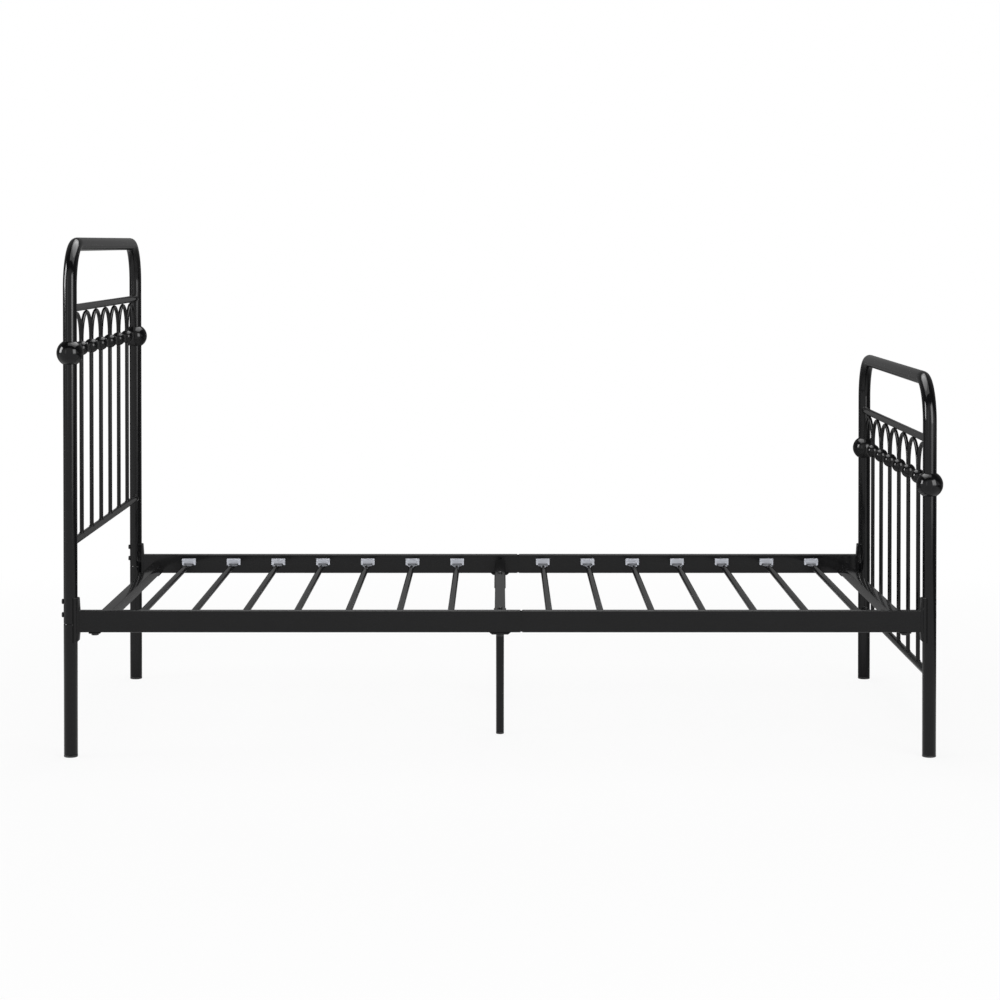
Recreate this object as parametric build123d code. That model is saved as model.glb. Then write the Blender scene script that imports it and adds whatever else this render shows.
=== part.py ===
"""Metal bed frame, twin size: two tube end panels, four rail halves, cross bars and tube slats.

Millimetres. X runs along the bed from the head (-) to the foot (+), Y across it from the front rail (-)
to the rear rail (+), Z up from the floor. The origin is on the floor under the middle of the bed.
"""
import os

from build123d import *

os.makedirs("parts", exist_ok=True)

# Driving sizes of the whole bed
bed_length = 1965.0       # head post to foot post, centre to centre
bed_width = 1005.0        # front post to rear post, centre to centre
head_top = 1173.0         # centre height of the headboard's top tube
foot_top = 863.0          # centre height of the footboard's top tube
rail_bottom = 286.0       # clear height under the side rails

# End panels
post_diameter = 31.75
post_wall = 1.2
corner_bend = 100.0       # centre-line radius of the bends at the top corners
cross_diameter = 17.5     # upper and lower cross tubes of a panel
cross_wall = 1.2
spindle_diameter = 10.0
arch_diameter = 9.2
arch_count = 7
bay_pitch = 140.0         # spacing of the spindles and of the arches between them
head_upper = 1026.0       # centre height of the headboard's upper cross tube
foot_upper = 725.0
ball_drop = 101.0         # centres of the post balls below the upper cross tube
lower_drop = 437.0        # lower cross tube below the post balls' centres
post_ball_diameter = 61.5
spindle_ball_diameter = 34.4
spindle_ball_rise = 4.4   # spindle balls sit a little higher than the post balls
leg_spread = 4.75         # arch leg beside the spindle axis
rod_seat = 2.0            # rod ends stop this far from a ball's centre

# Headboard legs plug into the posts
seam_height = 305.5       # where post and leg meet
spigot_top = 372.0
spigot_foot = 240.0
foot_cap_height = 5.0
cap_plug_height = 18.0
cap_plug_wall = 2.0
cap_edge = 1.0            # rounding of a foot's bottom edge

# Side rails, saddles and joiners
rail_height = 50.0
rail_depth = 20.0
tube_wall = 1.2
rail_corner = 3.0
rail_setback = 21.3       # post centre to rail end
joint_x = 48.7            # where the two halves of a rail meet
joint_notch = 3.0         # corners of the rail ends are cut back at the joint
joiner_length = 90.0
joiner_height = 41.0
joiner_wall = 1.5
saddle_bottom = 262.0
saddle_top = 365.0
saddle_thick = 3.0
saddle_wrap = 9.0         # wrapped edges end this far inboard of the post's centre
saddle_lip = 19.6         # reach of the saddle at its top and bottom ends
saddle_cut = 5.1          # slanting cut at its bottom end

# Cross bars
bar_side = 25.4           # the three bars are square tubes
end_bar_x = 926.5
tongue_width = 27.5
tongue_thick = 3.0
tongue_reach = 40.0       # length of a tongue under the bar
channel_wall = 2.0
channel_rise = 12.6       # side walls of the channel bracket above the bar's underside
channel_length = 275.0
pan_top_width = 48.7
pan_bottom_width = 37.0
pan_depth = 4.8
pan_reach = 3.0           # length of the pan inside the rail's inner face
plate_inset = 1.0         # tongues and pans stop this short of a rail's outer face
leg_diameter = 19.05
leg_wall = 1.2
leg_y = 239.0
leg_plug = 14.0
stud_reach = 6.0          # a leg's stud above the inside of the bar's lower wall
bar_screw_inset = 182.5   # screw through the bar and the channel, from the rail

# Slats and their holders
slat_count = 14
slat_first = 115.2        # first slat from the middle of the bed
slat_pitch = 120.4
slat_diameter = 15.9
slat_wall = 1.0
tip_width = 25.0
tip_thick = 2.4
tip_length = 26.0
flare_length = 55.0
holder_width = 36.0
holder_depth = 8.0
holder_below = 2.0        # holder under and over the slat's axis
holder_above = 14.4
lug_width = 31.0
lug_depth = 5.0
lug_below = 1.6
lug_above = 6.0
pocket_depth = 11.0
holder_edge = 1.0
slit = 0.5                # gap left between the two walls of a flattened tip

# Bolts
bolt_diameter = 8.0
head_diameter = 12.0
head_height = 4.0
head_round = 1.5
socket_across = 5.0
socket_depth = 2.2
bolt_upper = 356.0        # post bolt heights
bolt_lower = 325.6
underside_head_diameter = 17.0
flush_head_diameter = 14.0
flush_head_depth = 3.5
nut_depth = 4.0           # threaded length inside a rail

# Values worked out from the sizes above
half_length = bed_length / 2
half_width = bed_width / 2
post_radius = post_diameter / 2
post_bore = post_radius - post_wall
cross_radius = cross_diameter / 2
rail_top = rail_bottom + rail_height
rail_middle = rail_bottom + rail_height / 2
rail_end = half_length - rail_setback
rail_inner = half_width - rail_depth / 2
rail_outer = half_width + rail_depth / 2
arch_radius = bay_pitch / 2 - leg_spread
arch_apex = ball_drop - cross_radius - arch_diameter / 2
arch_leg = arch_apex - arch_radius
leg_top = rail_bottom - channel_wall


def save(name, *pieces):
    """Write one node of the assembly: a single piece or a group of like pieces."""
    shape = pieces[0] if len(pieces) == 1 else Compound(children=list(pieces))
    shape.label = name
    export_step(shape, f"parts/{name}.step")


def rod(start, end, radius):
    """Round bar between two points."""
    path = Line(start, end)
    return sweep(Plane(origin=path @ 0, z_dir=path % 0) * Circle(radius), path)


def tube_along(path, outer, inner):
    """Round tube along a path."""
    ring = Circle(outer) - Circle(inner)
    return sweep(Plane(origin=path @ 0, z_dir=path % 0) * ring, path)


def box_between(low, high):
    """Box from its low corner to its high corner."""
    size = [b - a for a, b in zip(low, high)]
    middle = [(a + b) / 2 for a, b in zip(low, high)]
    return Pos(*middle) * Box(*size)


def box_tube(length, tall, deep, wall, corner):
    """Rectangular tube along X, centred on the origin."""
    outer = RectangleRounded(deep, tall, corner)
    inner = RectangleRounded(deep - 2 * wall, tall - 2 * wall, corner - wall)
    return extrude(Plane.YZ.offset(-length / 2) * (outer - inner), length)


# End panels
def hoop(x, top, bottom):
    """Posts and top of a panel: one tube bent twice."""
    front = [(x, -half_width, bottom), (x, -half_width, top)]
    rear = [(x, half_width, top), (x, half_width, bottom)]
    path = FilletPolyline(*front, *rear, radius=corner_bend)
    return tube_along(path, post_radius, post_bore)


def both_posts(x):
    """Outside of the two posts of a panel, used to trim what meets them."""
    post = Cylinder(post_radius, head_top * 2)
    return Pos(x, -half_width, head_top) * post + Pos(x, half_width, head_top) * post


def cross_tube(x, height):
    """Cross tube whose ends are coped to the posts."""
    path = Line((x, -half_width, height), (x, half_width, height))
    return tube_along(path, cross_radius, cross_radius - cross_wall) - both_posts(x)


def arch_positions():
    return [bay_pitch * (number - (arch_count - 1) / 2) for number in range(arch_count)]


def spindle_positions():
    return [y + bay_pitch / 2 for y in arch_positions()[:-1]]


def spindles(x, ball_height):
    """Rods from the lower cross tube up into the balls."""
    lower = ball_height - lower_drop
    upper = ball_height + spindle_ball_rise - rod_seat
    rail = rod((x, -half_width, lower), (x, half_width, lower), cross_radius)
    return [rod((x, y, lower), (x, y, upper), spindle_diameter / 2) - rail for y in spindle_positions()]


def spindle_balls(x, ball_height):
    """Cast balls: a spindle enters from below, two arch legs from above."""
    pieces = []
    reach = spindle_ball_diameter
    middle = ball_height + spindle_ball_rise
    for y in spindle_positions():
        ball = Pos(x, y, middle) * Sphere(spindle_ball_diameter / 2)
        seat = middle - rod_seat
        ball -= rod((x, y, seat - reach), (x, y, seat), spindle_diameter / 2)
        seat = middle + rod_seat
        for side in (-leg_spread, leg_spread):
            ball -= rod((x, y + side, seat), (x, y + side, seat + reach), arch_diameter / 2)
        pieces.append(ball)
    return pieces


def post_balls(x, ball_height):
    """Larger cast balls threaded on the posts."""
    ball = Sphere(post_ball_diameter / 2) - Cylinder(post_radius, post_ball_diameter)
    return [Pos(x, y, ball_height) * ball for y in (-half_width, half_width)]


def arches(x, ball_height):
    """Bent rods side by side under the upper cross tube. The outer two lean on the posts and their balls."""
    spring = ball_height + arch_leg
    foot = ball_height + spindle_ball_rise + rod_seat
    taken = both_posts(x)
    for y in (-half_width, half_width):
        taken += Pos(x, y, ball_height) * Sphere(post_ball_diameter / 2)
    pieces = []
    for y in arch_positions():
        near, far = y - arch_radius, y + arch_radius
        rise = Line((x, near, foot), (x, near, spring))
        crown = ThreePointArc((x, near, spring), (x, y, spring + arch_radius), (x, far, spring))
        fall = Line((x, far, spring), (x, far, foot))
        section = Plane(origin=rise @ 0, z_dir=rise % 0) * Circle(arch_diameter / 2)
        arch = sweep(section, Wire([rise, crown, fall]))
        pieces.append(arch - taken)
    return pieces


# Headboard legs and feet
def headboard_leg(y):
    """Leg below the seam, with a sleeve in its top end that plugs into the post."""
    leg = extrude(Circle(post_radius) - Circle(post_bore), seam_height - foot_cap_height)
    spigot = extrude(Circle(post_bore) - Circle(post_bore - post_wall), spigot_top - spigot_foot)
    return Pos(-half_length, y, 0) * (Pos(0, 0, foot_cap_height) * leg + Pos(0, 0, spigot_foot) * spigot)


def foot_cap(x, y, radius, bore):
    """Plastic foot under a tube, with a plug that enters it."""
    flange = extrude(Circle(radius), foot_cap_height)
    flange = fillet(flange.edges().group_by(Axis.Z)[0], cap_edge)
    plug = extrude(Circle(bore) - Circle(bore - cap_plug_wall), cap_plug_height)
    return Pos(x, y, 0) * (flange + Pos(0, 0, foot_cap_height) * plug)


# Side rails
def saddle(side_x, side_y):
    """Curved bracket on a rail end that hugs the post."""
    outer = post_radius + saddle_thick
    height = saddle_top - saddle_bottom
    ring = Circle(outer) - Circle(post_radius)
    pad = Pos(rail_setback / 2, 0) * Rectangle(rail_setback, rail_depth) - Circle(post_radius)
    keep = Pos(saddle_wrap + outer, 0) * Rectangle(2 * outer, 3 * outer)
    body = Pos(0, 0, saddle_bottom) * extrude((ring + pad) & keep, height)
    step = rail_setback - saddle_lip
    low = saddle_cut
    lower = [(0, saddle_bottom), (saddle_lip - low, saddle_bottom), (saddle_lip, saddle_bottom + low)]
    middle = [(rail_setback, rail_bottom), (rail_setback, rail_top)]
    upper = [(saddle_lip, saddle_top - step), (saddle_lip - step, saddle_top), (0, saddle_top)]
    side_view = make_face(Polyline(*lower, *middle, *upper, close=True))
    body &= extrude(Plane.XZ * side_view, 2 * outer, both=True)
    turn = 0 if side_x < 0 else 180
    return Pos(side_x * half_length, side_y * half_width, 0) * Rot(0, 0, turn) * body


def holder_slots(side_y):
    """Slots in a rail's inner wall for the lugs of the slat holders."""
    slots = []
    for x in slat_positions():
        low = (x - lug_width / 2, side_y * rail_inner - tube_wall, rail_middle - lug_below)
        high = (x + lug_width / 2, side_y * rail_inner + tube_wall, rail_middle + lug_above)
        slots.append(box_between(low, high))
    return slots


def rail_half(start, end, side_y):
    """One half of a side rail, its corners cut back where it meets the other half."""
    y = side_y * half_width
    tube = box_tube(end - start, rail_height, rail_depth, tube_wall, rail_corner)
    tube = Pos((start + end) / 2, y, rail_middle) * tube
    side = joint_notch * 2 ** 0.5
    for height in (rail_bottom, rail_top):
        tube -= Pos(joint_x, y, height) * Rot(0, 45, 0) * Box(side, 2 * rail_depth, side)
    for slot in holder_slots(side_y):
        tube -= slot
    return tube


def rail_joiner(side_y):
    """Box sleeve inside both halves of a rail."""
    deep = rail_depth - 2 * tube_wall
    sleeve = box_tube(joiner_length, joiner_height, deep, joiner_wall, rail_corner - tube_wall)
    return Pos(joint_x, side_y * half_width, rail_middle) * sleeve


# Cross bars
def cross_bar(x):
    """Square tube between the two side rails, flush with their undersides."""
    tube = box_tube(2 * rail_inner, bar_side, bar_side, tube_wall, rail_corner)
    return Pos(x, 0, rail_bottom + bar_side / 2) * Rot(0, 0, 90) * tube


def tongues(x):
    """Plates under the ends of an end bar that reach below the rails."""
    pieces = []
    for side in (-1, 1):
        near, far = sorted((side * (rail_inner - tongue_reach), side * (rail_outer - plate_inset)))
        plate = box_between((x - tongue_width / 2, near, rail_bottom - tongue_thick),
                            (x + tongue_width / 2, far, rail_bottom))
        lower = plate.edges().filter_by(Axis.Y).group_by(Axis.Z)[0]
        pieces.append(chamfer(lower, tongue_thick / 2))
    return pieces


def channel_bracket(side):
    """Pressed bracket at one end of the centre bar: a channel round the bar and a pan under the rail."""
    inner = rail_inner - channel_length
    base = bar_side / 2 + channel_wall
    rise = rail_bottom + channel_rise
    channel = box_between((-base, inner, rail_bottom - channel_wall), (base, rail_inner, rise))
    room = bar_side / 2
    channel -= box_between((-room, inner, rail_bottom), (room, rail_inner, rise))
    wide, narrow = pan_top_width / 2, pan_bottom_width / 2
    floor = rail_bottom - pan_depth
    corners = [(-wide, rail_bottom), (-narrow, floor), (narrow, floor), (wide, rail_bottom)]
    outline = Polyline(*corners, close=True)
    end_on = Plane(origin=(0, rail_outer - plate_inset, 0), x_dir=(1, 0, 0), z_dir=(0, -1, 0))
    body = channel + extrude(end_on * make_face(outline), rail_depth - plate_inset + pan_reach)
    return body if side > 0 else Rot(0, 0, 180) * body


def centre_leg(y):
    """Round support leg with a plugged top that holds a stud."""
    radius = leg_diameter / 2
    tall = leg_top - foot_cap_height
    leg = Pos(0, y, foot_cap_height) * extrude(Circle(radius) - Circle(radius - leg_wall), tall)
    plug = Circle(radius - leg_wall) - Circle(bolt_diameter / 2)
    return leg + Pos(0, y, leg_top - leg_plug) * extrude(plug, leg_plug)


# Slats
def slat_positions():
    half = slat_count // 2
    right = [slat_first + slat_pitch * number for number in range(half)]
    return [-x for x in reversed(right)] + right


def slat_blank(radius, width, thick):
    """Round bar along Y whose ends flare into flat tips."""
    tip_start = rail_inner - holder_depth - tip_length
    tip_end = rail_inner - holder_depth + pocket_depth
    flare_start = tip_start - flare_length
    bar = extrude(Plane.XZ * Circle(radius), flare_start, both=True)
    for side in (-1, 1):
        facing = Plane(origin=(0, 0, 0), x_dir=(1, 0, 0), z_dir=(0, side, 0))
        tip = Ellipse(width / 2, thick / 2)
        bar += loft([facing.offset(flare_start) * Circle(radius), facing.offset(tip_start) * tip])
        bar += extrude(facing.offset(tip_start) * tip, tip_end - tip_start)
    return bar


def slat():
    """Tube slat on the Y axis: the two walls of each flattened end leave a thin slit."""
    solid = slat_blank(slat_diameter / 2, tip_width, tip_thick)
    return solid - slat_blank(slat_diameter / 2 - slat_wall, tip_width - 2 * slat_wall, slit)


def slat_holder(side):
    """Plastic holder on a rail's inner face, with a lug through the wall and a pocket for a slat's tip."""
    face = rail_inner - holder_depth
    half = holder_width / 2
    block = box_between((-half, face, -holder_below), (half, rail_inner, holder_above))
    block = fillet(block.edges().filter_by(Axis.Y), holder_edge)
    half = lug_width / 2
    lug = box_between((-half, rail_inner, -lug_below), (half, rail_inner + lug_depth, lug_above))
    facing = Plane(origin=(0, face, 0), x_dir=(1, 0, 0), z_dir=(0, 1, 0))
    pocket = extrude(facing * Ellipse(tip_width / 2, tip_thick / 2), pocket_depth)
    holder = block + lug - pocket
    return holder if side > 0 else Rot(0, 0, 180) * holder


# Bolts
def hex_socket(top):
    """Room of a hexagon key below a given height."""
    hexagon = RegularPolygon(socket_across / 2, 6, major_radius=False)
    return Pos(0, 0, top - socket_depth) * extrude(hexagon, socket_depth)


def button_head(diameter):
    """Domed head standing on the origin, with a hexagon socket."""
    head = extrude(Circle(diameter / 2), head_height)
    head = fillet(head.edges().group_by(Axis.Z)[-1], head_round)
    return head - hex_socket(head_height)


def bolt(place, direction, length, diameter=head_diameter):
    """Button-head bolt: its seat is at place and its shank runs along direction."""
    shank = Pos(0, 0, -length) * extrude(Circle(bolt_diameter / 2), length)
    away = [-value for value in direction]
    return Plane(origin=place, z_dir=away) * (button_head(diameter) + shank)


def flush_bolt(place, direction, length):
    """Countersunk bolt with a hexagon socket, level with the post it goes through."""
    head = Cone(bolt_diameter / 2, flush_head_diameter / 2, flush_head_depth)
    head = Pos(0, 0, -flush_head_depth / 2) * head
    shank = Pos(0, 0, -length) * extrude(Circle(bolt_diameter / 2), length)
    away = [-value for value in direction]
    return Plane(origin=place, z_dir=away) * (head + shank - hex_socket(0))


def post_bolt_places(seat):
    return [(seat, y, height) for y in (-half_width, half_width) for height in (bolt_lower, bolt_upper)]


def headboard_bolts():
    """Two through bolts at each headboard post, heads outside."""
    length = post_radius + rail_setback
    return [bolt(place, (1, 0, 0), length) for place in post_bolt_places(-half_length - post_radius)]


def footboard_bolts():
    """Two bolts at each footboard post, their heads trimmed level with its round surface."""
    length = post_radius + rail_setback
    inboard = box_between((half_length - rail_setback, -bed_width, 0), (half_length, bed_width, head_top))
    room = both_posts(half_length) + inboard
    places = post_bolt_places(half_length + post_radius)
    return [flush_bolt(place, (-1, 0, 0), length) & room for place in places]


def footboard_sockets():
    """Room of a key at each footboard bolt, cut out of the post's wall as well."""
    places = post_bolt_places(half_length + post_radius)
    return [Plane(origin=place, z_dir=(1, 0, 0)) * hex_socket(0) for place in places]


def end_bar_bolts(x):
    """Bolts up through an end bar's tongues into the rails."""
    length = tongue_thick + nut_depth
    return [bolt((x, y, rail_bottom - tongue_thick), (0, 0, 1), length, underside_head_diameter)
            for y in (-half_width, half_width)]


def centre_bar_bolts():
    """Bolts up into the rails and screws down through the bar into its brackets."""
    top = rail_bottom + bar_side
    pieces = []
    for side in (-1, 1):
        under = (0, side * half_width, rail_bottom - pan_depth)
        pieces.append(bolt(under, (0, 0, 1), pan_depth + nut_depth, underside_head_diameter))
        over = (0, side * (rail_inner - bar_screw_inset), top)
        pieces.append(bolt(over, (0, 0, -1), bar_side + channel_wall))
    return pieces


def centre_leg_bolts():
    """Studs in the plugged tops of the legs, up through the brackets into the bar's lower wall."""
    low = leg_top - leg_plug
    high = rail_bottom + tube_wall + stud_reach
    return [rod((0, y, low), (0, y, high), bolt_diameter / 2) for y in (-leg_y, leg_y)]


def drilled(shape, bolts):
    """Take the room of some bolts out of a piece."""
    for piece in bolts:
        shape -= piece
    return shape


# Build and write every node
head_x, foot_x = -half_length, half_length
head_ball = head_upper - ball_drop
foot_ball = foot_upper - ball_drop
head_bolts = headboard_bolts()
foot_bolts = footboard_bolts()
bar_bolts = centre_bar_bolts()
leg_bolts = centre_leg_bolts()
head_bar_bolts = end_bar_bolts(-end_bar_x)
foot_bar_bolts = end_bar_bolts(end_bar_x)

save("headboard_hoop", drilled(hoop(head_x, head_top, seam_height), head_bolts))
foot_rooms = foot_bolts + footboard_sockets()
save("footboard_hoop", drilled(hoop(foot_x, foot_top, foot_cap_height), foot_rooms))
boards = [("headboard", head_x, head_upper, head_ball), ("footboard", foot_x, foot_upper, foot_ball)]
for board, x, upper, ball in boards:
    save(f"{board}_upper_rail", cross_tube(x, upper))
    save(f"{board}_lower_rail", cross_tube(x, ball - lower_drop))
    save(f"{board}_spindles", *spindles(x, ball))
    save(f"{board}_arches", *arches(x, ball))
    save(f"{board}_spindle_balls", *spindle_balls(x, ball))
    save(f"{board}_post_balls", *post_balls(x, ball))

for end, side_x in (("head", -1), ("foot", 1)):
    for place, side_y in (("front", -1), ("rear", 1)):
        post_bolts = head_bolts if side_x < 0 else foot_bolts
        save(f"saddle_{end}_{place}", drilled(saddle(side_x, side_y), post_bolts))

for place, side_y in (("front", -1), ("rear", 1)):
    save(f"headboard_leg_{place}", drilled(headboard_leg(side_y * half_width), head_bolts))
    head_half = rail_half(-rail_end, joint_x, side_y)
    save(f"side_rail_head_{place}", drilled(head_half, head_bar_bolts + bar_bolts))
    save(f"side_rail_foot_{place}", drilled(rail_half(joint_x, rail_end, side_y), foot_bar_bolts))
    save(f"rail_joiner_{place}", rail_joiner(side_y))
    save(f"channel_bracket_{place}", drilled(channel_bracket(side_y), bar_bolts + leg_bolts))
    save(f"centre_leg_{place}", drilled(centre_leg(side_y * leg_y), leg_bolts))
    holder = slat_holder(side_y)
    save(f"slat_holders_{place}", *[Pos(at, 0, rail_middle) * holder for at in slat_positions()])

save("head_end_bar", cross_bar(-end_bar_x))
save("foot_end_bar", cross_bar(end_bar_x))
save("head_bar_tongues", *[drilled(plate, head_bar_bolts) for plate in tongues(-end_bar_x)])
save("foot_bar_tongues", *[drilled(plate, foot_bar_bolts) for plate in tongues(end_bar_x)])
save("centre_bar", drilled(cross_bar(0), bar_bolts + leg_bolts))

blank_slat = slat()
for number, at in enumerate(slat_positions(), start=1):
    save(f"slat_{number:02d}", Pos(at, 0, rail_middle) * blank_slat)

posts = [(x, y) for x in (head_x, foot_x) for y in (-half_width, half_width)]
save("post_foot_caps", *[foot_cap(x, y, post_radius, post_bore) for x, y in posts])
leg_radius = leg_diameter / 2
save("centre_leg_caps", *[foot_cap(0, y, leg_radius, leg_radius - leg_wall) for y in (-leg_y, leg_y)])

save("headboard_bolts", *head_bolts)
save("footboard_bolts", *foot_bolts)
save("end_bar_bolts", *head_bar_bolts, *foot_bar_bolts)
save("centre_bar_bolts", *bar_bolts)
save("centre_leg_bolts", *leg_bolts)
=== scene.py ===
"""Looks of a metal bed frame, twin size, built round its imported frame.

Metres. X runs along the bed from the head (-) to the foot (+), Y across it from the front rail (-)
to the rear rail (+), Z up from the floor. The origin is on the floor under the middle of the bed.
"""
import math

import bmesh
import bpy
from bpy.props import FloatProperty, FloatVectorProperty, IntProperty, PointerProperty
from mathutils import Matrix, Vector


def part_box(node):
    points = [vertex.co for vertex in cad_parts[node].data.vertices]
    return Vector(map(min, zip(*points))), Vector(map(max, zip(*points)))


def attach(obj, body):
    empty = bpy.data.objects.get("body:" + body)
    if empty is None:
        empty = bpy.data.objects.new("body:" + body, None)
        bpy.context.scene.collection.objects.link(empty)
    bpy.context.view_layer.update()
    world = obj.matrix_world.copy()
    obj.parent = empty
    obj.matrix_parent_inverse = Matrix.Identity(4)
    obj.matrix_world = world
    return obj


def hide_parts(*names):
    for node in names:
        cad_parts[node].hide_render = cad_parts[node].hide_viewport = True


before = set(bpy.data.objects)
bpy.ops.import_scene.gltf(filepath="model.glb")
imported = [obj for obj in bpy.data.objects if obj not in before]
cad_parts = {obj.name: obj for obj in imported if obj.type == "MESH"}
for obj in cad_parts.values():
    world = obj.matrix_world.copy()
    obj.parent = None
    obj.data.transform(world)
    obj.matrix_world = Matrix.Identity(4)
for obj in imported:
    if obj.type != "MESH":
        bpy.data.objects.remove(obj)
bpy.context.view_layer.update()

bl_info = {
    "name": "Metal bed frame",
    "version": (1, 0, 0),
    "blender": (4, 5, 0),
    "location": "View3D > Sidebar > Bed frame",
    "description": "Builds the pieces of a black metal bed frame and a plain studio round it",
    "category": "Object",
}

MM = 0.001
TURN = 2 * math.pi
QUARTER = math.pi / 2
UPRIGHT = (0, 0, 0)  # turn of a copy that stands as its master does
ROD_SIDES = 28
TURNED_SIDES = 48


def linear(hex_colour):
    """sRGB hex colour as linear red, green and blue."""
    parts = [int(hex_colour[at:at + 2], 16) / 255 for at in (1, 3, 5)]
    return [part / 12.92 if part <= 0.04045 else ((part + 0.055) / 1.055) ** 2.4 for part in parts]


# Sizes that the frame gives
def middle_of(node):
    low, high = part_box(node)
    return (low + high) / 2


def size_of(node):
    low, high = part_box(node)
    return high - low


post_radius = size_of("headboard_hoop").x / 2
half_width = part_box("headboard_hoop")[1].y - post_radius
post_lines = (-half_width, half_width)
cross_radius = size_of("headboard_upper_rail").z / 2
spindle_radius = size_of("headboard_spindles").x / 2
arch_rod_radius = size_of("headboard_arches").x / 2
spindle_ball_radius = size_of("headboard_spindle_balls").x / 2
post_ball_radius = size_of("headboard_post_balls").x / 2
boards = ("headboard", "footboard")
sides = {"front": -1, "rear": 1}
ends = {"head": -1, "foot": 1}
corners = [(f"{end}_{place}", ends[end], sides[place]) for end in ends for place in sides]
slat_nodes = sorted(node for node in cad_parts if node.startswith("slat_") and node[-2:].isdigit())
slat_places = sorted(middle_of(node).x for node in slat_nodes)
rail_low, rail_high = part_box("side_rail_head_front")
rail_middle = (rail_low + rail_high) / 2
joint_x = rail_high.x
rail_inner = half_width - (rail_high.y - rail_low.y) / 2


# Settings that a user would change
def length(name, description, millimetres, least=0):
    """A length property, given in millimetres."""
    return FloatProperty(
        name=name, description=description, default=millimetres * MM, min=least * MM, unit="LENGTH")


def paint(name, description, hex_colour):
    """A colour property, given as sRGB hex."""
    return FloatVectorProperty(
        name=name, description=description, default=linear(hex_colour), min=0, max=1, subtype="COLOR")


class BedFrameSizes(bpy.types.PropertyGroup):
    """Sizes of the pieces that the frame's boxes don't give."""

    corner_bend: length("Corner bend", "Centre-line radius at a panel's top corners", 100, 40)
    spindle_count: IntProperty(
        name="Spindles", description="Upright spindles in a panel", default=6, min=2)
    leg_spread: length("Arch leg spread", "Arch leg beside a spindle's axis", 4.75)
    rail_corner: length("Rail corner", "Outside corner radius of the side rails", 3)
    bar_corner: length("Bar corner", "Outside corner radius of the cross bars", 0.7)
    joint_notch: length("Joint notch", "Cut at the rail corners where two halves meet", 3)
    tip_thickness: length("Slat tip", "Thickness of a slat's flattened end", 2.4)
    tip_length: length("Slat tip length", "Flat length of a slat's end outside its holder", 26)
    flare_length: length("Slat flare", "Length over which a slat's tube goes flat", 55)
    holder_width: length("Holder width", "Width of a slat holder along the rail", 36)
    holder_depth: length("Holder depth", "How far a slat holder stands off the rail", 8)
    tongue_reach: length("Tongue reach", "Length of an end bar's plates inside the rails", 40)
    bar_screw_inset: length("Bar screw inset", "Screws of the middle bar from the rails", 182.5)
    bolt_head: length("Bolt head", "Diameter of a button bolt's head", 12)
    bolt_head_large: length("Underside bolt head", "Diameter of the bolt heads under the rails", 17)
    weld_bead: length("Weld bead", "Radius of a weld bead", 1.5)
    tube_sides: IntProperty(
        name="Tube sides", description="Faces round the large tubes", default=64, min=16)


class BedFrameColours(bpy.types.PropertyGroup):
    """Colours of the finishes."""

    coat: paint("Powder coat", "Colour of the coated steel", "#101011")
    holder: paint("Slat holders", "Colour of the moulded holders", "#d0d3dc")
    foot: paint("Feet", "Colour of the moulded feet", "#0d0d0d")
    bolt: paint("Bolts", "Colour of the blackened bolts", "#121213")
    floor: paint("Floor", "Colour of the studio floor", "#f6f6f6")


def sizes():
    return bpy.context.scene.bed_frame_sizes


def colours():
    return bpy.context.scene.bed_frame_colours


# Nodes and materials
def add_node(tree, kind, inputs=None, **settings):
    """A node with its settings and its inputs, each a value or a link from another node's output."""
    node = tree.nodes.new(kind)
    for name, value in settings.items():
        setattr(node, name, value)
    for key, value in (inputs or {}).items():
        if isinstance(value, bpy.types.NodeSocket):
            tree.links.new(value, node.inputs[key])
        else:
            node.inputs[key].default_value = value
    return node


def maths(tree, operation, *values):
    """Result of a math node on values or links."""
    node = add_node(tree, "ShaderNodeMath", dict(enumerate(values)), operation=operation)
    return node.outputs[0]


def vector_maths(tree, operation, *values):
    """Result of a vector math node on values or links."""
    node = add_node(tree, "ShaderNodeVectorMath", dict(enumerate(values)), operation=operation)
    return node.outputs["Value" if operation in ("LENGTH", "DISTANCE") else "Vector"]


def map_range(tree, value, low, high, start=0.0, end=1.0, curve="LINEAR"):
    """Result of a map range node that takes low to start and high to end."""
    node = add_node(tree, "ShaderNodeMapRange", {
        "Value": value, "From Min": low, "From Max": high, "To Min": start, "To Max": end},
        interpolation_type=curve)
    return node.outputs["Result"]


def mix(tree, factor, first, second, kind="FLOAT"):
    """Result of a mix node: the first at a factor of 0, the second at 1."""
    node = add_node(tree, "ShaderNodeMix", {"Factor": factor, "A": first, "B": second}, data_type=kind)
    return node.outputs["Result"]


def material_named(name):
    """A material and its node tree, which is empty if the material is new."""
    material = bpy.data.materials.get(name) or bpy.data.materials.new(name)
    if not material.use_nodes:
        material.use_nodes = True
        material.node_tree.nodes.clear()
    return material, material.node_tree


def patches(tree, size, detail):
    """Noise over a piece, in patches of about this size."""
    place = add_node(tree, "ShaderNodeTexCoord").outputs["Object"]
    noise = add_node(tree, "ShaderNodeTexNoise", {"Vector": place, "Scale": 1 / size, "Detail": detail})
    return noise.outputs["Fac"]


def shade(colour, factor):
    """A colour made lighter or darker, with its alpha."""
    return [min(1.0, part * factor) for part in colour] + [1.0]


def two_tones(tree, factor, colour, dark, light):
    """A colour that runs between two shades of itself."""
    return mix(tree, factor, shade(colour, dark), shade(colour, light), "RGBA")


def relief(tree, height, strength, depth):
    """Normals of a fine relief."""
    bump = add_node(tree, "ShaderNodeBump", {"Height": height, "Strength": strength, "Distance": depth})
    return bump.outputs["Normal"]


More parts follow.
